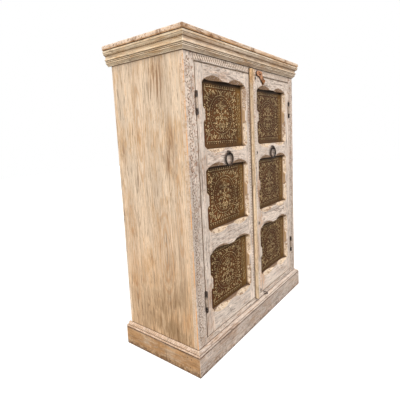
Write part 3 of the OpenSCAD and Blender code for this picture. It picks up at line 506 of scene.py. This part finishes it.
def stile_marks(b, w, colour):
    """The frame's stiles are greyer and more flaked towards the foot, with a thin orange arris."""
    z = w.part("Z")
    bits = broken(b, b.step(z, 0.4, 0.8), w.sum(mottle=0.6, specks=0.4), 0.52, 0.57)
    colour = tinted(b, colour, bits, (150, 98, 62), 0.65)
    low = b.step(z, 0.85, 0.45)
    colour = tinted(b, colour, low, (186, 172, 160), 0.35)
    colour = tinted(b, colour, broken(b, low, w.specks, 0.5, 0.58), (128, 104, 90), 0.5)
    side = b.step(b.absolute(w.looks("X")), 0.7, 0.9)
    colour = tinted(b, colour, side, (222, 188, 148), 0.5)
    arris = b.times(side, b.step(w.part("Y"), -0.1705, -0.1745))
    colour = tinted(b, colour, broken(b, arris, w.patches, 0.46, 0.54), (226, 158, 96), 0.8)
    return door_lines(b, w, colour)


def right_door_marks(b, w, colour):
    """Brown patches where the wash is gone beside the meeting strip."""
    bald = [(at_x, DOOR_FACE, at_z) for at_x, at_z in ((0.05, 0.17), (0.045, 0.44), (0.05, 0.6))]
    spots = near(b, w, bald, 0.01, 0.035, (1.0, 1.0, 0.5))
    spots = broken(b, spots, w.sum(patches=0.6, mottle=0.4), 0.42, 0.54)
    colour = tinted(b, colour, spots, (208, 158, 116), 0.6)
    return door_lines(b, w, colour)


def strip_marks(b, w, colour):
    """The strip has lost its wash along its left face and at its top, and has a row of ticks."""
    x = w.part("X")
    z = w.part("Z")
    edge = b.step(b.plus(x, b.times(w.patches, 0.01)), 0.002, 0.009, 1.0, 0.0)
    left = b.step(w.looks("X"), -0.3, -0.8)
    colour = stained(b, colour, b.larger(edge, left), (252, 240, 214))
    top = b.step(b.plus(z, b.times(w.patches, 0.08)), 1.085, 1.13)
    colour = stained(b, colour, top, (250, 234, 210))
    brown = broken(b, b.step(w.sum(mottle=0.5, patches=0.5), 0.52, 0.58), z, 0.5, 1.05, 0.3)
    colour = tinted(b, colour, brown, (172, 122, 76), 0.45)
    wave = b.math("SINE", b.times(b.plus(z, b.times(w.mottle, 0.006)), FULL_TURN / TICK_PITCH))
    ticks = broken(b, b.step(x, 0.004, 0.008), w.patches, 0.4, 0.55)
    ticks = broken(b, ticks, wave, 0.55, 0.9)
    return tinted(b, colour, ticks, (128, 96, 70), 0.6)


# Metal

def dark_iron(name, seed, light, dark, rust, rust_share, near_spot=None, painted=()):
    """Forged iron with a dull oxide skin, brighter where hands rub it, and rust in the hollows.
    Near a spot, given as a point, a reach and a tone, it takes that tone. Near the painted heights
    it has been painted over with the wood."""
    material, b = new_material(name)
    here = b.add("ShaderNodeTexCoord", out="Object")
    place = b.move(here, (seed, seed * 0.7, seed * 1.9))
    skin = b.noise(place, 150.0, 5.0, 0.65)
    scale = b.noise(place, 620.0, 4.0, 0.7)
    bloom = b.noise(place, 70.0, 4.0, 0.6)
    colour = b.mix(b.step(skin, 0.4, 0.62), linear(*dark), linear(*light))
    middle = 0.62 - 0.24 * rust_share
    rusty = b.step(b.plus(b.times(bloom, 0.7), b.times(scale, 0.3)), middle - 0.06, middle + 0.06)
    flakes = b.mix(b.step(scale, 0.35, 0.7), linear(*rust), linear(*[0.6 * c for c in rust]))
    colour = b.mix(rusty, colour, flakes)
    if near_spot:
        point, reach, tone = near_spot
        away = b.plus(b.distance(here, point), b.times(bloom, 0.01))
        colour = tinted(b, colour, b.step(away, reach + 0.008, reach - 0.002), tone, 0.8)
    for at in painted:
        away = b.absolute(b.minus(b.add("ShaderNodeSeparateXYZ", {0: here}, out="Z"), at))
        over = b.step(b.plus(away, b.times(bloom, 0.016)), 0.03, 0.022)
        colour = tinted(b, colour, broken(b, over, scale, 0.36, 0.5), (204, 184, 164), 0.85)
    height = b.plus(b.times(skin, 0.6), b.times(scale, 0.6))
    rough = b.step(rusty, 0.0, 1.0, 0.42, 0.85)
    metallic = b.step(rusty, 0.0, 1.0, 0.6, 0.05)
    b.finish(colour, rough, height, 0.0005, metallic)
    return material


def old_brass(name, seed, dull):
    """Embossed brass: brown patina in the ground, rubbed crests, an olive cast towards the edges.
    A dull sheet, from 0 to 1.5, has a darker and redder ground and less rubbing."""
    material, b = new_material(name)
    place = b.move(b.add("ShaderNodeTexCoord", out="Object"), (seed, 0.0, seed * 1.7))
    crest, foot, across, up = (b.add("ShaderNodeAttribute", out="Fac", attribute_name=field)
                               for field in ("crest", "foot", "across", "up"))
    cloud = b.noise(place, 16.0, 4.0, 0.6)
    stains = b.noise(place, 70.0, 4.0, 0.65)
    grains = b.noise(place, 420.0, 3.0, 0.6)

    # The ground
    ground = b.mix(b.step(cloud, 0.38, 0.62), linear(78, 46, 18), linear(118, 76, 34))
    warm = b.times(b.step(across, 0.3, -0.7), b.step(up, 0.4, -0.6))
    ground = tinted(b, ground, warm, (112, 62, 34), 0.5)
    ground = tinted(b, ground, dull, (76, 42, 20), 0.6)
    uneven = b.times(stains, 0.3)
    right = b.step(b.plus(across, uneven), 0.8, 1.1)
    ground = tinted(b, ground, right, (146, 108, 54), 0.7)
    ends = b.step(b.plus(b.absolute(up), uneven), 0.88, 1.08)
    ground = tinted(b, ground, ends, (92, 70, 40), 0.6)
    ground = tinted(b, ground, b.step(stains, 0.5, 0.66), (50, 32, 20), 0.65)
    ground = tinted(b, ground, b.step(grains, 0.56, 0.68), (146, 112, 74), 0.35)
    ground = tinted(b, ground, foot, (40, 23, 10), 0.8)

    # The rubbed crests, and the shade of the opening's top and left edge
    worn = b.plus(b.times(cloud, 0.4), b.times(stains, 0.6))
    handled = b.step(worn, 0.42, 0.56, 0.35, 1.0 - 0.2 * dull)
    rubbed = b.times(b.step(crest, 0.3, 0.8), handled)
    colour = tinted(b, ground, rubbed, (252, 216, 158))
    shaded = b.larger(b.step(up, 0.87, 0.97), b.times(b.step(across, -0.84, -0.97), 0.6))
    colour = tinted(b, colour, shaded, (34, 22, 12), 0.8)

    rough = b.step(rubbed, 0.0, 1.0, 0.55, 0.36)
    metallic = b.step(rubbed, 0.0, 1.0, 0.2, 0.5)
    height = b.plus(b.times(grains, 0.5), b.times(stains, 0.5))
    b.finish(colour, rough, height, 0.0004, metallic, 0.15)
    return material


# Embossed brass sheets

BEAD, STROKE, PETAL, CURL = range(4)
# The die that stamped every sheet sat a little left of the opening's middle
DIE_X = -0.008
DIE_UP = 0.002
# Its marks are given in millimetres, and stand a tenth wider apart sideways than they are given
MM = 1000
SPREAD = 1.1


def die_marks():
    """The motifs of the die: what each is, its place from the die's middle, its turn, its size in
    metres, and its hand, which is -1 for a mirrored one."""
    marks = []

    def put(kind, x, up, turn=0.0, size=1.0, hand=1):
        marks.append({"kind": kind, "x": x * SPREAD / MM, "up": up / MM,
                      "turn": math.radians(turn), "size": size / MM, "hand": hand})

    def pair(kind, x, up, turn, size, hand=1):
        put(kind, x, up, turn, size, hand)
        put(kind, -x, up, 180 - turn, size, -hand)

    def stroke(x0, up0, x1, up1, hand=1, both=True):
        turn = math.degrees(math.atan2(up1 - up0, x1 - x0))
        lay = pair if both else put
        lay(STROKE, x0, up0, turn, math.hypot(x1 - x0, up1 - up0), hand)

    def round_ring(kind, count, rx, up, size):
        """Motifs along an ellipse, each starting half its size before its place."""
        for i in range(count):
            a = FULL_TURN * (i + 0.5) / count
            x, z = rx * math.cos(a), up * math.sin(a)
            turn = math.degrees(math.atan2(up * math.cos(a), -rx * math.sin(a)))
            way = math.radians(turn)
            put(kind, x - size / 2 * math.cos(way), z - size / 2 * math.sin(way), turn, size, -1)

    # The double ring: a row of dashes round a row of beads
    round_ring(STROKE, 32, 67, 71, 11)
    round_ring(BEAD, 42, 57, 62, 1.5)
    # A vase on its foot
    stroke(-5, -54, -19, -36, 1)
    stroke(-19, -36, -8, -24, -1)
    stroke(-11, -55, 11, -55, -1, False)
    stroke(-10, -22, 10, -22, 1, False)
    for x in (-6, 0, 6):
        put(PETAL, x, -48, 90 - 2.5 * x, 17)
    # Its stem, flower, bud and branches
    stroke(0, -20, 0, -9, 1, False)
    for i in range(5):
        a = math.radians(72 * i + 18)
        put(PETAL, 5 * math.cos(a), 2 + 5 * math.sin(a), math.degrees(a), 8.5)
    put(BEAD, 0, 2, 0, 1.4)
    stroke(0, 13, 0, 27, -1, False)
    put(PETAL, 0, 33, 90, 19)
    stroke(-3, 32, -13, 46, 1)
    stroke(-3, 28, -22, 40, 1)
    pair(CURL, -27, 33, 30, 5.5, 1)
    stroke(-2, 19, -20, 22, -1)
    pair(CURL, -26, 17, -40, 5.5, -1)
    pair(PETAL, -17, 9, 165, 14)
    pair(CURL, -40, 5, 60, 6, 1)
    pair(PETAL, -15, -7, 200, 15)
    stroke(-3, -14, -24, -19, -1)
    pair(CURL, -34, -16, 10, 6.5, -1)
    pair(PETAL, -27, -27, 215, 13)
    stroke(-24, -38, -38, -34, -1)
    for x, up in ((-42, -30), (-45, -8), (-38, 22), (-12, 54)):
        pair(BEAD, x, up, 0, 2)
    pair(PETAL, -24, -46, 160, 10)
    # Sprays of leaves towards the corners
    for sy in (1, -1):
        stroke(-54, sy * 54, -84, sy * 84, sy)
        stroke(-63, sy * 48, -91, sy * 74, sy)
        stroke(-45, sy * 64, -70, sy * 90, -sy)
        pair(PETAL, -84, sy * 84, 180 - sy * 45, 12)
        pair(PETAL, -61, sy * 71, 180 - sy * 78, 13)
        pair(PETAL, -73, sy * 59, 180 - sy * 12, 13)
        pair(PETAL, -68, sy * 68, 180 - sy * 45, 12)
        pair(CURL, -90, sy * 58, 100, 5.5, sy)
        pair(CURL, -44, sy * 84, 40, 5.5, sy)
        pair(CURL, -78, sy * 42, 200, 5.5, -sy)
        stroke(-18, sy * 76, -32, sy * 90, -sy)
        stroke(-4, sy * 76, -18, sy * 90, -sy)
        pair(PETAL, -32, sy * 76, 180 - sy * 30, 11)
        pair(BEAD, -56, sy * 90, 0, 2)
        put(PETAL, 0, sy * 77, sy * 90, 13)
        pair(PETAL, -70, sy * 30, 180 - sy * 10, 12)
        pair(BEAD, -92, sy * 36, 0, 2)
    # Curls beside the ring
    pair(CURL, -77, 15, 20, 5.5, 1)
    pair(CURL, -77, -15, -20, 5.5, -1)
    pair(PETAL, -68, 0, 180, 15)
    # Slanting dashes up both sides
    for i in range(-7, 8):
        hand = 1 if i % 2 else -1
        if abs(i) < 4:
            stroke(-90, 12 * i - 4, -98, 12 * i + 4, hand)
        stroke(-104, 12 * i - 4, -109, 12 * i + 5, hand)
        stroke(115, 12 * i - 4, 120, 12 * i + 5, hand, False)
    # Rows of small arches over and under
    for i in range(-7, 8):
        for sy in (1, -1):
            put(STROKE, 12.5 * i - 4.5, sy * 98, 0, 9, sy)
            put(BEAD, 12.5 * i, sy * 105, 0, 1.4)
    return marks


def die_points(name):
    """A mesh of bare points, one for each motif of the die, that say which goes where and how."""
    marks = die_marks()
    points = bpy.data.meshes.new(name)
    points.from_pydata([(m["x"] + DIE_X, m["up"] + DIE_UP, 0.0) for m in marks], [], [])
    for field, kind in (("kind", "INT"), ("turn", "FLOAT"), ("size", "FLOAT"), ("hand", "FLOAT")):
        layer = points.attributes.new(field, kind, "POINT")
        for i, m in enumerate(marks):
            layer.data[i].value = m[field]
    return points


def motif_curves(g):
    """Bead, stroke, petal and curl, each about one long and starting at its origin."""
    def bend(start, middle, end):
        return g.add("GeometryNodeCurveQuadraticBezier", {
            "Resolution": 10, "Start": start, "Middle": middle, "End": end})

    bead = g.add("GeometryNodeCurvePrimitiveCircle", {"Resolution": 8, "Radius": 0.6})
    petal = g.tree.nodes.new("GeometryNodeJoinGeometry")
    for side in (0.5, -0.5):
        g.tree.links.new(bend((0, 0, 0), (0.55, side, 0), (1, 0, 0)), petal.inputs[0])
    curl = g.add("GeometryNodeCurveSpiral", {
        "Resolution": 20, "Rotations": 1.15, "Start Radius": 0.2, "End Radius": 1.0,
        "Height": 0.0, "Reverse": False})
    return [bead, bend((0, 0, 0), (0.5, 0.38, 0), (1, 0, 0)), petal.outputs[0], curl]


def emboss_tree():
    """Geometry nodes that press the die's pattern into a sheet. Its points are the die's."""
    tree = bpy.data.node_groups.new("pressed_brass", "GeometryNodeTree")
    face = tree.interface
    face.new_socket("Geometry", in_out="INPUT", socket_type="NodeSocketGeometry")
    for label, length in (("Width", 0.28), ("Height", 0.25),
                          ("Open width", 0.266), ("Open height", 0.235), ("Pitch", 0.0012),
                          ("Line", 0.0016), ("Relief", 0.0016), ("Unevenness", 0.0005)):
        socket = face.new_socket(label, in_out="INPUT", socket_type="NodeSocketFloat")
        socket.default_value = length
    face.new_socket("Seed", in_out="INPUT", socket_type="NodeSocketInt").default_value = 1
    face.new_socket("Finish", in_out="INPUT", socket_type="NodeSocketMaterial")
    face.new_socket("Geometry", in_out="OUTPUT", socket_type="NodeSocketGeometry")
    g = Bench(tree)
    given = tree.nodes.new("NodeGroupInput").outputs

    def field(name, kind="FLOAT"):
        return g.add("GeometryNodeInputNamedAttribute", {"Name": name}, data_type=kind)

    # Motifs on their marks
    picks = tree.nodes.new("GeometryNodeJoinGeometry")
    for motif in reversed(motif_curves(g)):
        single = g.add("GeometryNodeGeometryToInstance", {0: motif})
        tree.links.new(single, picks.inputs[0])
    turn = g.add("ShaderNodeCombineXYZ", {"Z": field("turn")})
    size = g.add("ShaderNodeCombineXYZ", {
        "X": field("size"), "Y": g.times(field("size"), field("hand")), "Z": field("size")})
    placed = g.add("GeometryNodeInstanceOnPoints", {
        "Points": given["Geometry"], "Instance": picks.outputs[0], "Pick Instance": True,
        "Instance Index": field("kind", "INT"), "Rotation": turn, "Scale": size})
    drawing = g.add("GeometryNodeRealizeInstances", {0: placed})
    strokes = g.add("GeometryNodeCurveToMesh", {"Curve": drawing})

    # The flat sheet
    def count(length):
        return g.plus(g.math("ROUND", g.math("DIVIDE", length, given["Pitch"])), 1.0)

    sheet = g.add("GeometryNodeMeshGrid", {
        "Size X": given["Width"], "Size Y": given["Height"],
        "Vertices X": count(given["Width"]), "Vertices Y": count(given["Height"])})

    # How near each spot is to a stroke, which wanders a little as hand work does
    here = g.add("GeometryNodeInputPosition")
    wobble = g.add("ShaderNodeTexNoise", {
        "Vector": here, "W": given["Seed"], "Scale": 80.0, "Detail": 2.0},
        out="Color", noise_dimensions="4D")
    drift = g.stretch(g.move(wobble, (-0.5, -0.5, -0.5)), (0.006, 0.006, 0.0))
    away = g.add("GeometryNodeProximity", {
        "Geometry": strokes, "Sample Position": g.move(here, drift)},
        out="Distance", target_element="EDGES")
    # A stroke rises over the width of the line, and its dark foot lies round it
    crest = g.step(away, given["Line"], 0.0002)
    foot = g.step(away, g.times(given["Line"], 2.4), g.times(given["Line"], 0.9))

    # Where it lies in the opening, from -1 to 1, and how far the sheet pillows there
    apart = g.add("ShaderNodeSeparateXYZ", {0: here}).node.outputs
    across = g.math("DIVIDE", apart["X"], g.times(given["Open width"], 0.5))
    up = g.math("DIVIDE", apart["Y"], g.times(given["Open height"], 0.5))
    reach = g.larger(g.absolute(across), g.absolute(up))
    pillow = g.step(reach, 1.0, 0.8)
    swell = g.add("ShaderNodeTexNoise", {
        "Vector": here, "W": given["Seed"], "Scale": 38.0, "Detail": 3.0}, noise_dimensions="4D")
    uneven = g.times(g.times(swell, given["Unevenness"]), pillow)
    rise = g.plus(g.times(crest, given["Relief"]), uneven)

    # The sheet keeps these for its finish, and is pressed up
    for name, amount in (("crest", crest), ("foot", foot), ("across", across), ("up", up)):
        sheet = g.add("GeometryNodeStoreNamedAttribute", {
            "Geometry": sheet, "Name": name, "Value": amount}, data_type="FLOAT", domain="POINT")
    lift = g.add("ShaderNodeCombineXYZ", {"Z": rise})
    lifted = g.add("GeometryNodeSetPosition", {"Geometry": sheet, "Offset": lift})
    lifted = g.add("GeometryNodeSetShadeSmooth", {"Geometry": lifted})
    real = g.add("GeometryNodeRealizeInstances", {0: lifted})
    done = g.add("GeometryNodeSetMaterial", {"Geometry": real, "Material": given["Finish"]})
    end = tree.nodes.new("NodeGroupOutput")
    tree.links.new(done, end.inputs[0])
    return tree


def socket_id(tree, label):
    return next(item.identifier for item in tree.interface.items_tree
                if item.in_out == "INPUT" and item.name == label)


def close_back(mesh, back):
    """Gives the sheet its thickness: a rim along its border and a flat back at the depth given."""
    work = bmesh.new()
    work.from_mesh(mesh)
    rim = [e for e in work.edges if e.is_boundary]
    made = bmesh.ops.extrude_edge_only(work, edges=rim)["geom"]
    low = [v for v in made if isinstance(v, bmesh.types.BMVert)]
    for v in low:
        v.co.z = back
    edges = [e for e in made if isinstance(e, bmesh.types.BMEdge) and e.is_boundary]
    bmesh.ops.contextual_create(work, geom=edges)
    bmesh.ops.recalc_face_normals(work, faces=work.faces)
    # The rim and the back stay flat
    for f in work.faces:
        f.smooth = abs(f.normal.z) > 0.2 and len(f.verts) < 5
    work.to_mesh(mesh)
    work.free()


# How dull each sheet is, from the top panel down
DULL = {"left": (0.2, 0.3, 0.8), "right": (1.2, 1.3, 1.3)}
# The sheet's border behind the door and its thickness, and of the height that the pattern stands
# in all, the share of its strokes and of the ground's own swell
REBATE = 0.0075
SHEET = 0.0012
RISE = 0.0016
RELIEF = RISE * 0.8
SWELL = RISE * 0.2


def brass_sheet(tree, door, row, seed):
    """One embossed sheet in place of its CAD node."""
    node = f"{door}_brass_{row}"
    low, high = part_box(node)
    wide, tall = high.x - low.x, high.z - low.z
    maker = bpy.data.objects.new(f"{node}_marks", die_points(f"{node}_marks"))
    scene.collection.objects.link(maker)
    press = maker.modifiers.new("press", "NODES")
    press.node_group = tree
    dull = DULL[door][PANELS.index(row)]
    finish = old_brass(f"brass_{door}_{row}", seed * BRASS_APART, dull)
    settings = {"Width": wide, "Height": tall,
                "Open width": wide - 2 * REBATE, "Open height": tall - 2 * REBATE,
                "Relief": RELIEF, "Unevenness": SWELL, "Seed": seed, "Finish": finish}
    for label, value in settings.items():
        press[socket_id(tree, label)] = value
    evaluated = maker.evaluated_get(bpy.context.evaluated_depsgraph_get())
    mesh = bpy.data.meshes.new_from_object(evaluated)
    maker.modifiers.remove(press)
    bpy.data.objects.remove(maker)
    close_back(mesh, -SHEET)
    # The sheet lies on its board: its front plane faces -Y, up stays up
    stand = Matrix(((1, 0, 0), (0, 0, -1), (0, 1, 0))).to_4x4()
    middle = Vector(((low.x + high.x) / 2, high.y - SHEET, (low.z + high.z) / 2))
    mesh.transform(Matrix.Translation(middle) @ stand)
    mesh.update()
    piece = bpy.data.objects.new(f"{door}_embossed_{row}", mesh)
    scene.collection.objects.link(piece)
    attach(piece, f"{door}_door")
    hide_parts(node)


# Dressing the CAD nodes

def dress(name, material):
    mesh = nodes[name].data
    mesh.materials.clear()
    mesh.materials.append(material)


def dress_wood():
    seeds = iter(range(1, 99))

    def each(names, grain, tone, kind="plain", extra=None):
        for name in names:
            seed = next(seeds) * WOOD_APART
            dress(name, washed_wood(f"wood_{name}", grain, seed, tone, kind, extra))

    each(["side_left", "side_right"], "Z", SIDE, extra=side_marks)
    each(["back_boards"], "Z", SIDE)
    each(["top_board"], "X", SLAB, extra=slab_marks)
    each(["cornice_front"], "X", CORNICE_FRONT)
    each(["cornice_left", "cornice_right"], "Y", CORNICE)
    each(["plinth_front"], "X", PLINTH_FRONT, extra=plinth_front_marks)
    each(["plinth_left", "plinth_right"], "Y", PLINTH_SIDE, extra=plinth_side_marks)
    each(["plinth_back"], "X", SIDE)
    each(["frame_stile_left", "frame_stile_right"], "Z", FRAME, extra=stile_marks)
    each(["frame_rail_top"], "X", FRAME, "frame", rail_marks)
    each(["frame_sill"], "X", FRAME, "frame", door_lines)
    for door in DOORS:
        marks = right_door_marks if door == "right" else door_lines
        each([f"{door}_hinge_stile", f"{door}_meeting_stile"], "Z", FRONT, "door", marks)
        each([f"{door}_rail_{row}" for row in RAILS], "X", FRONT, "door", marks)
        each([f"{door}_board_{row}" for row in PANELS], "X", INSIDE)
    each(["meeting_strip"], "Z", FRAME, extra=strip_marks)
    each(["bottom_board", "shelf_lower", "shelf_upper", "shelf_cleats", "door_stop"], "X", INSIDE)


def dress_iron():
    dark = dark_iron("iron_dark", 0.4, (78, 66, 57), (22, 17, 14), (92, 66, 48), 0.3)
    hinges = dark_iron("iron_hinges", 1.1, (92, 84, 78), (26, 22, 20), (88, 62, 46), 0.35,
                       painted=HINGES_AT)
    # The hasp's head is rusted paler
    head = ((0.068, -0.185, 1.107), 0.03, (206, 150, 112))
    rusted = dark_iron("iron_rusted", 2.3, (138, 94, 52), (64, 38, 18), (166, 104, 54), 0.6, head)
    studs = dark_iron("iron_studs", 3.1, (74, 62, 54), (32, 26, 22), (84, 58, 42), 0.4)
    for material, names in (
            (dark, ("left_ring_eye", "right_ring_eye", "left_ring", "right_ring", "sill_staple")),
            (studs, ("strip_studs",)),
            (hinges, ("frame_hinge_leaves", "hinge_pins",
                      "left_hinge_leaves", "right_hinge_leaves")),
            (rusted, ("latch_staple", "hasp_staple", "hasp"))):
        for name in names:
            dress(name, material)


# Studio

def studio_floor():
    """Pale paper. It lights the cabinet from below only a little, so undersides stay dark."""
    bpy.ops.mesh.primitive_plane_add(size=16.0)
    floor = bpy.context.object
    floor.name = "floor"
    material, b = new_material("floor_white")
    seen = b.add("ShaderNodeLightPath", out="Is Camera Ray")
    grey = b.step(seen, 0.0, 1.0, 0.3, 0.86)
    paper = b.add("ShaderNodeBsdfDiffuse", {"Color": b.all_three(grey)})
    glow = b.add("ShaderNodeEmission", {"Color": WHITE, "Strength": b.times(seen, 0.3)})
    b.add_output(b.add("ShaderNodeAddShader", {0: paper, 1: glow}))
    floor.data.materials.append(material)


def studio_light():
    """A soft white room, seen as pure white, with a broad key and fill."""
    world = bpy.data.worlds.new("studio")
    scene.world = world
    world.use_nodes = True
    tree = world.node_tree
    tree.nodes.clear()
    b = Bench(tree)
    path = tree.nodes.new("ShaderNodeLightPath").outputs
    mirrored = b.larger(path["Is Glossy Ray"], path["Is Transmission Ray"])
    seen = b.larger(path["Is Camera Ray"], mirrored)
    soft = b.add("ShaderNodeBackground", {"Color": (1.0, 0.99, 0.98, 1.0), "Strength": 0.75})
    white = b.add("ShaderNodeBackground", {"Color": WHITE, "Strength": 1.0})
    mixed = b.add("ShaderNodeMixShader", {0: seen, 1: soft, 2: white})
    output = tree.nodes.new("ShaderNodeOutputWorld")
    tree.links.new(mixed, output.inputs["Surface"])
    for name, towards, strength, spread in (("key", (0.42, 0.66, -0.78), 2.0, 25),
                                            ("fill", (0.93, 0.2, -0.35), 1.1, 50)):
        lamp = bpy.data.lights.new(name, "SUN")
        lamp.energy = strength
        lamp.angle = math.radians(spread)
        lamp_object = bpy.data.objects.new(name, lamp)
        lamp_object.rotation_euler = Vector(towards).to_track_quat("-Z", "Y").to_euler()
        scene.collection.objects.link(lamp_object)


def studio_camera():
    """The camera looks at the front and the left side from 0.85 m up."""
    lens = bpy.data.cameras.new("camera")
    lens.sensor_fit = "HORIZONTAL"
    lens.sensor_width = 36.0
    lens.lens = 29.95
    lens.shift_x = -0.04435
    lens.shift_y = -0.0554
    lens.clip_start = 0.05
    camera = bpy.data.objects.new("camera", lens)
    right = Vector((0.58547, -0.80957, -0.04261))
    down = Vector((-0.12840, -0.04070, -0.99089))
    forward = Vector((0.80046, 0.58561, -0.12778))
    turn = Matrix((right, -down, -forward)).transposed().to_4x4()
    camera.matrix_world = Matrix.Translation((-1.25633, -0.90207, 0.85049)) @ turn
    scene.collection.objects.link(camera)
    scene.camera = camera


dress_wood()
dress_iron()
press_tree = emboss_tree()
for d, door in enumerate(DOORS):
    for r, row in enumerate(PANELS):
        brass_sheet(press_tree, door, row, 1 + len(PANELS) * d + r)
studio_floor()
studio_light()
studio_camera()
scene.view_settings.view_transform = "Standard"
